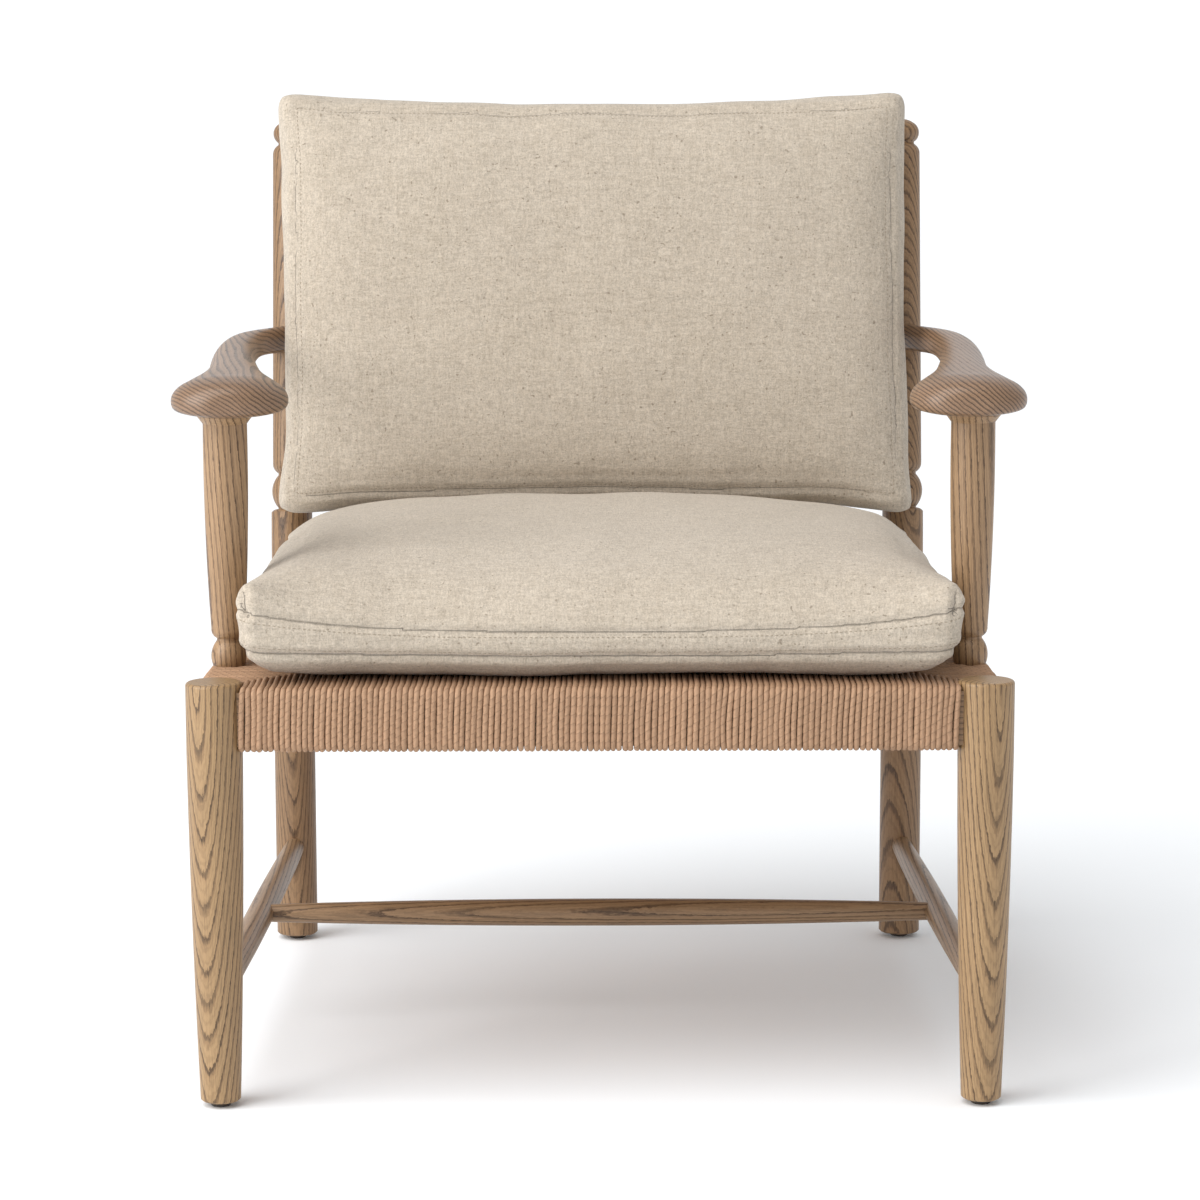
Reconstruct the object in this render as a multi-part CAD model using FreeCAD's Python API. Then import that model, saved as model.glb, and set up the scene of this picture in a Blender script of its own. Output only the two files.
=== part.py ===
import FreeCAD, Part

import math
import os

os.makedirs("parts", exist_ok=True)

Vector = FreeCAD.Vector

# A low lounge armchair in turned ash with a paper-cord seat and two loose cushions. Millimetres, +Z up, the front
# faces -Y and +X is the right side as seen from the front. The origin is on the floor under the middle of the
# chair's bounding box.

# Driving dimensions of the frame
FRONT_LEG_X = 340.0
REAR_LEG_X = 319.0
FRONT_LEG_Y = -348.8
LEG_DEPTH = 622.0
REAR_LEG_Y = FRONT_LEG_Y + LEG_DEPTH
FRONT_LEG_TOP = 384.0
FRONT_LEG_R = 24.9
FRONT_FOOT_R = 18.0
REAR_LEG_R = 21.3
POST_R = 19.8
RAKE = 10.5
BEND_START = 385.0
BEND_LENGTH = 68.0
POST_LENGTH = 411.0
RAIL_TOP = 376.0
RAIL_HEIGHT = 48.0
RAIL_THICK = 26.0
CORD = 5.0
STRETCHER_Z = 100.5
STRETCHER_END_R = 10.0
STRETCHER_MID_R = 12.9
CROSS_END_R = 8.5
CROSS_MID_R = 13.2
ARM_POST_BACK = 106.0
ARM_POST_TENON = 14.0
ARM_POST_TENON_R = 8.0
ARM_BOTTOM = 610.0
ARM_TOP = 645.0
ARM_JOINT_Z = 633.0
GLIDE_R = 9.0
GLIDE_HEIGHT = 5.0
SLAT_HEIGHT = 52.0
SLAT_STARTS = {"lower": 88.0, "middle": 236.0, "upper": 352.0}

# Driving dimensions of the cushions
SEAT_HALF_WIDTH = 317.0
SEAT_FRONT = FRONT_LEG_Y - 8.0
SEAT_BACK = REAR_LEG_Y - 25.0
SEAT_EDGE = 58.0
SEAT_CROWN = 66.0
BACK_HALF_WIDTH = 319.0
BACK_BOTTOM = 29.0
BACK_TOP = 455.0
BACK_REAR = 20.6
BACK_EDGE = 74.0
BACK_CROWN = 26.0
ZIP_LENGTH = 420.0
ZIP_THICK = 1.5
COVER = 2.0
GAP = 0.5

# The back frame leans about a line across the chair, level with the start of its lean
BEND_R = BEND_LENGTH / math.radians(RAKE)
LEAN_Z = BEND_START + BEND_R * math.tan(math.radians(RAKE) / 2)
LEAN = FreeCAD.Placement(
    Vector(0, REAR_LEG_Y, LEAN_Z), FreeCAD.Rotation(Vector(1, 0, 0), -RAKE)
)
RAIL_MID_Z = RAIL_TOP - RAIL_HEIGHT / 2
WEAVE_TOP = RAIL_TOP + CORD
WEAVE_BOTTOM = RAIL_TOP - RAIL_HEIGHT - CORD


def export(name, shape):
    """One piece, checked and written."""
    if not shape.isValid() or shape.Volume <= 0:
        print("NOT VALID", name)
    shape.exportStep("parts/" + name + ".step")
    box = shape.BoundBox
    print(
        f"{name:24s} solids {len(shape.Solids)} volume {shape.Volume / 1000:9.1f} cm3  "
        f"x {box.XMin:.1f} {box.XMax:.1f}  y {box.YMin:.1f} {box.YMax:.1f}  z {box.ZMin:.1f} {box.ZMax:.1f}"
    )


def mirrored(shape):
    """The same piece on the other side of the chair."""
    return shape.mirror(Vector(0, 0, 0), Vector(1, 0, 0))


def edge(start, end):
    """A straight profile edge between two (radius, height) points."""
    return Part.LineSegment(Vector(start[0], 0, start[1]), Vector(end[0], 0, end[1])).toShape()


def bow(start, middle, end):
    """A round profile edge through three (radius, height) points."""
    points = [Vector(r, 0, z) for r, z in (start, middle, end)]
    return Part.Arc(*points).toShape()


def turned(edges, bottom, top):
    """A lathe-turned piece about the Z axis from the outer profile edges."""
    axis = edge((0, top), (0, bottom))
    face = Part.Face(Part.Wire([*edges, axis]))
    return face.revolve(Vector(0, 0, 0), Vector(0, 0, 1), 360)


def rod(start, end, radius):
    """A plain round bar between two points."""
    along = end - start
    return Part.makeCylinder(radius, along.Length, start, along)


def stretched(start, end, end_r, mid_r, tenon_r, tenon):
    """A cigar-shaped stretcher between two points, with a round tenon past each end."""
    along = end - start
    half = along.Length / 2
    edges = [
        edge((0, -tenon), (tenon_r, -tenon)),
        edge((tenon_r, -tenon), (tenon_r, 0)),
        edge((tenon_r, 0), (end_r, 0)),
        bow((end_r, 0), (mid_r, half), (end_r, 2 * half)),
        edge((end_r, 2 * half), (tenon_r, 2 * half)),
        edge((tenon_r, 2 * half), (tenon_r, 2 * half + tenon)),
        edge((tenon_r, 2 * half + tenon), (0, 2 * half + tenon)),
    ]
    bar = turned(edges, -tenon, 2 * half + tenon)
    bar.Placement = FreeCAD.Placement(start, FreeCAD.Rotation(Vector(0, 0, 1), along))
    return bar


def side_x(y):
    """Where the side rail's middle lies at a given y, on the right."""
    share = (y - FRONT_LEG_Y) / LEG_DEPTH
    return FRONT_LEG_X + (REAR_LEG_X - FRONT_LEG_X) * share


def front_leg():
    """The right front leg, a tapered round leg with a curved taper and a softened top."""
    round_top = 3.0
    taper_top = 318.0
    chamfer = 1.5
    top = FRONT_LEG_TOP
    corner = round_top * (1 - math.sqrt(0.5))
    edges = [
        edge((0, GLIDE_HEIGHT), (FRONT_FOOT_R - chamfer, GLIDE_HEIGHT)),
        edge((FRONT_FOOT_R - chamfer, GLIDE_HEIGHT), (FRONT_FOOT_R, GLIDE_HEIGHT + chamfer)),
        bow((FRONT_FOOT_R, GLIDE_HEIGHT + chamfer), (22.3, 155), (FRONT_LEG_R, taper_top)),
        edge((FRONT_LEG_R, taper_top), (FRONT_LEG_R, top - round_top)),
        bow(
            (FRONT_LEG_R, top - round_top),
            (FRONT_LEG_R - corner, top - corner),
            (FRONT_LEG_R - round_top, top),
        ),
        edge((FRONT_LEG_R - round_top, top), (0, top)),
    ]
    leg = turned(edges, GLIDE_HEIGHT, top)
    leg.translate(Vector(FRONT_LEG_X, FRONT_LEG_Y, 0))
    return leg


def rear_leg():
    """The right rear leg: straight to the seat, steam-bent back above it, then a turned post with a bead and a
    ball finial."""
    chamfer = 1.5
    r = REAR_LEG_R
    edges = [
        edge((0, GLIDE_HEIGHT), (r - chamfer, GLIDE_HEIGHT)),
        edge((r - chamfer, GLIDE_HEIGHT), (r, GLIDE_HEIGHT + chamfer)),
        edge((r, GLIDE_HEIGHT + chamfer), (r, BEND_START)),
        edge((r, BEND_START), (0, BEND_START)),
    ]
    leg = turned(edges, GLIDE_HEIGHT, BEND_START)
    ring = Part.Face(Part.Wire(Part.makeCircle(r, Vector(0, 0, BEND_START))))
    bend = ring.revolve(Vector(0, BEND_R, BEND_START), Vector(1, 0, 0), -RAKE)
    lower = leg.fuse(bend).removeSplitter()
    lower.translate(Vector(REAR_LEG_X, REAR_LEG_Y, 0))

    # Heights on the leaning part count from the end of the bend
    neck = 14.0
    shoulder = 9.0
    bead_low = 5.0
    bead_high = 39.0
    bead_r = 20.6
    post_low = 43.0
    groove_high = POST_LENGTH - 26.0
    ball_mid = POST_LENGTH - 12.5
    ball_r = 19.2
    s = shoulder * (1 - math.sqrt(0.5))
    p = POST_R
    edges = [
        edge((0, 0), (r, 0)),
        bow((r, 0), (r - 2.0, 2.0), (neck, 3.6)),
        edge((neck, 3.6), (neck, bead_low)),
        bow((neck, bead_low), (bead_r, (bead_low + bead_high) / 2), (neck, bead_high)),
        edge((neck, bead_high), (neck, post_low - 2)),
        bow((neck, post_low - 2), (p - s, post_low - 2 + s), (p, post_low + shoulder)),
        edge((p, post_low + shoulder), (p, groove_high - shoulder)),
        bow((p, groove_high - shoulder), (p - s, groove_high - s), (neck, groove_high)),
        edge((neck, groove_high), (neck, groove_high + 2.5)),
        bow((neck, groove_high + 2.5), (ball_r, ball_mid - 2), (13, POST_LENGTH - 3.5)),
        bow((13, POST_LENGTH - 3.5), (8.5, POST_LENGTH - 1), (3, POST_LENGTH)),
        edge((3, POST_LENGTH), (0, POST_LENGTH)),
    ]
    post = turned(edges, 0, POST_LENGTH)
    end_y = BEND_R * (1 - math.cos(math.radians(RAKE)))
    end_z = BEND_START + BEND_R * math.sin(math.radians(RAKE))
    post.Placement = FreeCAD.Placement(
        Vector(REAR_LEG_X, REAR_LEG_Y + end_y, end_z), FreeCAD.Rotation(Vector(1, 0, 0), -RAKE)
    )
    return lower.fuse(post).removeSplitter()


def cross_rail(y, x_leg):
    """The front or rear seat rail, a flat board with a stub tenon at each end."""
    tenon_thick = 12.0
    tenon_high = 30.0
    tenon_end = x_leg - 4.0
    board = Part.makeBox(
        2 * x_leg, RAIL_THICK, RAIL_HEIGHT, Vector(-x_leg, y - RAIL_THICK / 2, RAIL_TOP - RAIL_HEIGHT)
    )
    tenon = Part.makeBox(
        2 * tenon_end,
        tenon_thick,
        tenon_high,
        Vector(-tenon_end, y - tenon_thick / 2, RAIL_MID_Z - tenon_high / 2),
    )
    return board, tenon


def side_rail():
    """The right seat rail, running a little inwards to the back."""
    tenon_thick = 12.0
    tenon_high = 30.0
    front_end = 8.0
    length = math.hypot(LEG_DEPTH, REAR_LEG_X - FRONT_LEG_X)
    board = Part.makeBox(
        RAIL_THICK, length, RAIL_HEIGHT, Vector(-RAIL_THICK / 2, 0, RAIL_TOP - RAIL_HEIGHT)
    )
    tenon = Part.makeBox(
        tenon_thick,
        length - 2 * front_end,
        tenon_high,
        Vector(-tenon_thick / 2, front_end, RAIL_MID_Z - tenon_high / 2),
    )
    turn = math.degrees(math.atan2(FRONT_LEG_X - REAR_LEG_X, LEG_DEPTH))
    place = FreeCAD.Placement(
        Vector(FRONT_LEG_X, FRONT_LEG_Y, 0), FreeCAD.Rotation(Vector(0, 0, 1), turn)
    )
    board.Placement = place
    tenon.Placement = place
    return board, tenon


def arm_post():
    """The right arm post: a bead on the rail, a tapered shaft and a collar under the arm, with a tenon each end."""
    y = FRONT_LEG_Y + ARM_POST_BACK
    foot = RAIL_TOP
    neck = 10.5
    tenon_r = ARM_POST_TENON_R
    tenon_low = 30.0
    tenon_high = ARM_POST_TENON
    top = ARM_BOTTOM
    edges = [
        edge((0, foot - tenon_low), (tenon_r, foot - tenon_low)),
        edge((tenon_r, foot - tenon_low), (tenon_r, foot)),
        edge((tenon_r, foot), (neck + 1, foot)),
        bow((neck + 1, foot), (15.8, foot + 15), (neck, foot + 28)),
        edge((neck, foot + 28), (neck, foot + 30)),
        bow((neck, foot + 30), (14.0, foot + 33), (15.4, foot + 39)),
        bow((15.4, foot + 39), (18.8, foot + 115), (19.9, top - 9)),
        edge((19.9, top - 9), (24.8, top - 2.5)),
        edge((24.8, top - 2.5), (24.8, top)),
        edge((24.8, top), (tenon_r, top)),
        edge((tenon_r, top), (tenon_r, top + tenon_high)),
        edge((tenon_r, top + tenon_high), (0, top + tenon_high)),
    ]
    post = turned(edges, foot - tenon_low, top + tenon_high)
    post.translate(Vector(side_x(y), y, 0))
    return post


# Stations along the right arm: x, distance behind the front leg, half width, underside and top height. The arm
# starts as a broad paddle over its post, narrows, and sweeps in to meet the rear post.
ARM_STATIONS = [
    (330.0, 48.0, 13.0, ARM_BOTTOM + 5, ARM_BOTTOM + 19),
    (330.0, 51.0, 25.0, ARM_BOTTOM + 2, ARM_BOTTOM + 25),
    (330.0, 58.0, 36.5, ARM_BOTTOM + 0.5, ARM_BOTTOM + 30),
    (330.0, 70.0, 46.5, ARM_BOTTOM, ARM_BOTTOM + 33),
    (330.5, 88.0, 52.0, ARM_BOTTOM, ARM_TOP),
    (331.0, 108.0, 51.5, ARM_BOTTOM, ARM_TOP),
    (333.0, 140.0, 46.0, ARM_BOTTOM, ARM_TOP),
    (336.0, 180.0, 38.0, ARM_BOTTOM + 0.5, ARM_TOP),
    (340.0, 230.0, 30.5, ARM_BOTTOM + 1.5, ARM_TOP),
    (346.0, 300.0, 25.0, ARM_BOTTOM + 3, ARM_TOP),
    (353.0, 370.0, 22.5, ARM_BOTTOM + 5, ARM_TOP),
    (360.0, 460.0, 20.0, ARM_BOTTOM + 7, ARM_TOP + 0.5),
    (360.5, 530.0, 18.5, ARM_BOTTOM + 8.5, ARM_TOP + 1),
    (353.5, 583.0, 17.0, ARM_BOTTOM + 10, ARM_TOP + 1),
    (337.0, 622.5, 15.5, ARM_BOTTOM + 10, ARM_TOP + 1),
    (325.0, 648.5, 15.0, ARM_BOTTOM + 10, ARM_TOP + 1),
]
ARM_TAIL_TURN = 25.0
PLUG_DEPTH = 13


def arm_section(station, tangent):
    """One section across the arm: flat below, full at the sides and domed on top."""
    x, back, half, low, high = station
    across = Vector(tangent.y, -tangent.x, 0)
    middle = Vector(x, FRONT_LEG_Y + back, 0)
    height = high - low
    waist = low + 0.36 * height
    points = []
    for i in range(20):
        angle = 2 * math.pi * i / 20
        c = math.cos(angle)
        s = math.sin(angle)
        side = half * math.copysign(abs(c) ** 0.85, c)
        if s >= 0:
            z = waist + (high - waist) * s**0.95
        else:
            z = waist - (waist - low) * abs(s) ** 0.55
        points.append(middle + across * side + Vector(0, 0, z))
    curve = Part.BSplineCurve()
    curve.interpolate(Points=points, PeriodicFlag=True)
    return Part.Wire(curve.toShape())


def arm():
    """The right arm, before its joints are cut."""
    sections = []
    last = len(ARM_STATIONS) - 1
    for i, station in enumerate(ARM_STATIONS):
        before = ARM_STATIONS[max(i - 1, 0)]
        after = ARM_STATIONS[min(i + 1, last)]
        tangent = Vector(after[0] - before[0], after[1] - before[1], 0)
        if i == 0:
            tangent = Vector(0, 1, 0)
        if i == last:
            turn = math.radians(ARM_TAIL_TURN)
            tangent = Vector(-math.sin(turn), math.cos(turn), 0)
        tangent.normalize()
        sections.append(arm_section(station, tangent))
    loft = Part.makeLoft(sections, True, False)
    below = Part.makeBox(400, LEG_DEPTH, 50, Vector(150, FRONT_LEG_Y, ARM_BOTTOM - 50))
    return loft.cut(below)


def tail_axis():
    """Where the arm's tail meets the rear post's middle, and the way the tail points."""
    rise = ARM_JOINT_Z - LEAN_Z
    point = Vector(
        REAR_LEG_X, REAR_LEG_Y + rise * math.tan(math.radians(RAKE)), ARM_JOINT_Z
    )
    turn = math.radians(ARM_TAIL_TURN)
    return point, Vector(-math.sin(turn), math.cos(turn), 0)


def arm_tenon():
    """The round tenon on the arm's tail."""
    root = 30
    reach = 2
    radius = 8.0
    point, along = tail_axis()
    return rod(point - along * root, point + along * reach, radius)


def arm_screw():
    """A wood screw from the back of the rear post into the arm's tail, with a countersunk head."""
    shank_r = 2.25
    head_r = 4.6
    head_height = 3.0
    reach = 42
    point, along = tail_axis()
    head = point + along * PLUG_DEPTH
    shank = rod(point - along * reach, head, shank_r)
    cone = Part.makeCone(shank_r, head_r, head_height, head - along * head_height, along)
    return shank.fuse(cone)


def screw_plug():
    """The wooden plug over the screw's head, flush with the rear post's back."""
    past_the_back = 24
    radius = 5.0
    point, along = tail_axis()
    return rod(point + along * PLUG_DEPTH, point + along * past_the_back, radius)


def slat(low, high):
    """A bowed back slat between the rear posts; its ends are housed in them. Heights run up the leaning posts."""
    reach = 312.0
    bow_depth = 24.0
    thick = 12.0
    half = thick / 2
    inner = Part.Arc(Vector(-reach, -half, low), Vector(0, bow_depth - half, low), Vector(reach, -half, low))
    outer = Part.Arc(Vector(-reach, half, low), Vector(0, bow_depth + half, low), Vector(reach, half, low))
    left = Part.LineSegment(Vector(-reach, -half, low), Vector(-reach, half, low))
    right = Part.LineSegment(Vector(reach, -half, low), Vector(reach, half, low))
    wire = Part.Wire([inner.toShape(), right.toShape(), outer.toShape(), left.toShape()])
    board = Part.Face(wire).extrude(Vector(0, 0, high - low))
    long_edges = [e for e in board.Edges if e.Length > reach]
    board = board.makeFillet(3.0, long_edges)
    board.Placement = LEAN
    return board


def prism(corners, low, high):
    """A flat piece with straight sides, from its corners seen from above."""
    points = [Vector(x, y, low) for x, y in corners]
    wire = Part.makePolygon([*points, points[0]])
    return Part.Face(wire).extrude(Vector(0, 0, high - low))


def weave_panels():
    """The four panels of the paper-cord seat. Each wraps its rail and meets its neighbours on a mitre; the cords
    run over and under the seat, so a panel has an upper layer, an outer wall and a lower layer."""
    front = FRONT_LEG_Y
    rear = REAR_LEG_Y
    wall = RAIL_THICK / 2
    skin = wall + CORD
    mid_y = (front + rear) / 2
    mid_x = FRONT_LEG_X - LEG_DEPTH / 2
    end = math.cos(math.atan2(FRONT_LEG_X - REAR_LEG_X, LEG_DEPTH))
    shift = skin / end
    inset = wall / end
    panels = {}
    plans = {
        "seat_weave_front": (
            [(-FRONT_LEG_X, front), (FRONT_LEG_X, front), (mid_x, mid_y), (-mid_x, mid_y)],
            [(-FRONT_LEG_X, front - skin), (FRONT_LEG_X, front - skin)],
            [(FRONT_LEG_X, front - wall), (-FRONT_LEG_X, front - wall)],
        ),
        "seat_weave_rear": (
            [(REAR_LEG_X, rear), (-REAR_LEG_X, rear), (-mid_x, mid_y), (mid_x, mid_y)],
            [(REAR_LEG_X, rear + skin), (-REAR_LEG_X, rear + skin)],
            [(-REAR_LEG_X, rear + wall), (REAR_LEG_X, rear + wall)],
        ),
        "seat_weave_right": (
            [(FRONT_LEG_X, front), (REAR_LEG_X, rear), (mid_x, mid_y)],
            [(FRONT_LEG_X + shift, front), (REAR_LEG_X + shift, rear)],
            [(REAR_LEG_X + inset, rear), (FRONT_LEG_X + inset, front)],
        ),
    }
    low = RAIL_TOP - RAIL_HEIGHT
    for name, (field, outside, inside) in plans.items():
        outline = [*outside, *field[1:2], *field[2:], field[0]]
        upper = prism(outline, RAIL_TOP, WEAVE_TOP)
        lower = prism(outline, WEAVE_BOTTOM, low)
        wall_piece = prism([*outside, *inside], WEAVE_BOTTOM, WEAVE_TOP)
        panels[name] = upper.fuse(lower).fuse(wall_piece).removeSplitter()
    panels["seat_weave_left"] = mirrored(panels["seat_weave_right"])
    return panels


def stuffing():
    """The card and paper packed between the upper and lower cords, with a little play inside the rails."""
    play = 1.0
    inset = RAIL_THICK / 2 + play
    front = FRONT_LEG_Y + inset
    rear = REAR_LEG_Y - inset
    corners = [
        (-side_x(front) + inset, front),
        (side_x(front) - inset, front),
        (side_x(rear) - inset, rear),
        (-side_x(rear) + inset, rear),
    ]
    return prism(corners, RAIL_TOP - RAIL_HEIGHT, RAIL_TOP)


def rounded_rectangle(half_x, low, high, radius, height):
    """A wire in a level plane: a rectangle with round corners, from low to high along Y."""
    radius = min(radius, half_x - 1, (high - low) / 2 - 1)
    k = radius * (1 - math.sqrt(0.5))
    edges = []
    corners = [(half_x, low, -1, 1), (half_x, high, -1, -1), (-half_x, high, 1, -1), (-half_x, low, 1, 1)]
    for i, (x, y, dx, dy) in enumerate(corners):
        nx, ny, ndx, ndy = corners[(i + 1) % 4]
        along_y = i % 2 == 0
        start = Vector(x + (0 if along_y else dx * radius), y + (dy * radius if along_y else 0), height)
        end = Vector(nx + (0 if along_y else ndx * radius), ny + (ndy * radius if along_y else 0), height)
        edges.append(Part.LineSegment(start, end).toShape())
        turn_end = Vector(nx + (ndx * radius if along_y else 0), ny + (0 if along_y else ndy * radius), height)
        corner = Vector(nx + ndx * k, ny + ndy * k, height)
        edges.append(Part.Arc(end, corner, turn_end).toShape())
    return Part.Wire(edges)


def pillow(half_x, low, high, levels, corner):
    """A cushion's plain solid: level sections, each (height, inset)."""
    wires = [
        rounded_rectangle(half_x - inset, low + inset, high - inset, corner + inset * 0.6, height)
        for height, inset in levels
    ]
    return Part.makeLoft(wires, True, True)


def back_pillow(grow):
    """The back cushion's solid, grown all round by a distance, leaning on the posts."""
    front = BACK_REAR + BACK_EDGE
    levels = [
        (BACK_REAR - grow, 21.0 - grow),
        (BACK_REAR + 7, 10.5 - grow),
        (BACK_REAR + 18, 3.2 - grow),
        (BACK_REAR + 30, 0.0 - grow),
        (front - 6, 0.0 - grow),
        (front + 1 + grow, 5.0 - grow),
        (front + 0.38 * BACK_CROWN + grow, 34.0 - grow),
        (front + 0.78 * BACK_CROWN + grow, 95.0 - grow),
        (front + BACK_CROWN + grow, 165.0 - grow),
    ]
    solid = pillow(BACK_HALF_WIDTH, BACK_BOTTOM, BACK_TOP, levels, 26.0)
    # The sections are stacked upwards, so the cushion is stood up on its lower edge and then leaned back
    upright = FreeCAD.Placement(Vector(0, 0, 0), FreeCAD.Rotation(Vector(1, 0, 0), 90))
    solid.Placement = LEAN.multiply(upright)
    return solid


def back_stand(grow):
    """The room above the slanting plane that the back cushion's lower edge stands on, grown by a distance."""
    slope = 0.235
    clearance = 1.7
    edge = BACK_REAR + BACK_EDGE - 6
    behind, ahead, above = -60.0, 400.0, 400.0
    height = BACK_BOTTOM - clearance - grow
    corners = [
        (behind, height + slope * (behind - edge)),
        (ahead, height + slope * (ahead - edge)),
        (ahead, above),
        (behind, above),
    ]
    reach = SEAT_HALF_WIDTH + 50
    points = [Vector(-reach, -w, s) for w, s in corners]
    wire = Part.makePolygon([*points, points[0]])
    solid = Part.Face(wire).extrude(Vector(2 * reach, 0, 0))
    solid.Placement = LEAN
    return solid


def seat_pillow(grow):
    """The seat cushion's solid, grown all round, with its rear cut to the slant that the back cushion stands on."""
    base = WEAVE_TOP + GAP
    seam = base + SEAT_EDGE
    levels = [
        (base - grow, 15.0 - grow),
        (base + 4, 5.5 - grow),
        (base + 14, 0.5 - grow),
        (base + 26, 0.0 - grow),
        (seam - 8, 0.0 - grow),
        (seam + 2 + grow, 6.0 - grow),
        (seam + 0.33 * SEAT_CROWN + grow, 34.0 - grow),
        (seam + 0.68 * SEAT_CROWN + grow, 92.0 - grow),
        (seam + 0.90 * SEAT_CROWN + grow, 160.0 - grow),
        (seam + SEAT_CROWN + grow, 225.0 - grow),
    ]
    solid = pillow(SEAT_HALF_WIDTH, SEAT_FRONT, SEAT_BACK, levels, 24.0)
    return solid.cut(back_stand(-grow))


def seat_zip():
    """The zip along the seat cushion's rear side."""
    half_height = 3.5
    low = WEAVE_TOP + GAP + SEAT_EDGE / 2 - half_height
    corner = Vector(-ZIP_LENGTH / 2, SEAT_BACK - ZIP_THICK, low)
    return Part.makeBox(ZIP_LENGTH, ZIP_THICK, 2 * half_height, corner)


def back_zip():
    """The zip along the back cushion's lower side."""
    width = 7.0
    behind = 35.0
    corner = Vector(-ZIP_LENGTH / 2, -BACK_REAR - behind - width, BACK_BOTTOM)
    strip = Part.makeBox(ZIP_LENGTH, width, ZIP_THICK, corner)
    strip.Placement = LEAN
    return strip


def tie_tape():
    """A narrow tape sewn under the back cushion's right corner, hanging down behind the seat cushion."""
    width = 5.0
    thick = 1.2
    top = Vector(284, SEAT_BACK + 9.5, 453)
    low = Vector(297, SEAT_BACK + 9.5, 430)
    along = low - top
    strip = Part.makeBox(width, thick, along.Length, Vector(-width / 2, -thick / 2, 0))
    strip.Placement = FreeCAD.Placement(top, FreeCAD.Rotation(Vector(0, 0, 1), along))
    return strip


def glide(x, y):
    """A round glide under a leg, with an eased rim, and the nail that holds it."""
    rim_r = 1.2
    nail_low = 2.0
    shank_r = 1.4
    shank = 18.0
    head_r = 3.2
    head = 1.2
    disc = Part.makeCylinder(GLIDE_R, GLIDE_HEIGHT, Vector(x, y, 0))
    rim = [e for e in disc.Edges if e.Closed and e.BoundBox.ZMax < 1]
    disc = disc.makeFillet(rim_r, rim)
    foot = Vector(x, y, nail_low)
    nail = Part.makeCylinder(shank_r, shank, foot).fuse(Part.makeCylinder(head_r, head, foot))
    return disc, nail


def both(solid):
    """A right-hand solid and its left-hand copy in one node."""
    return Part.makeCompound([solid, mirrored(solid)])


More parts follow.
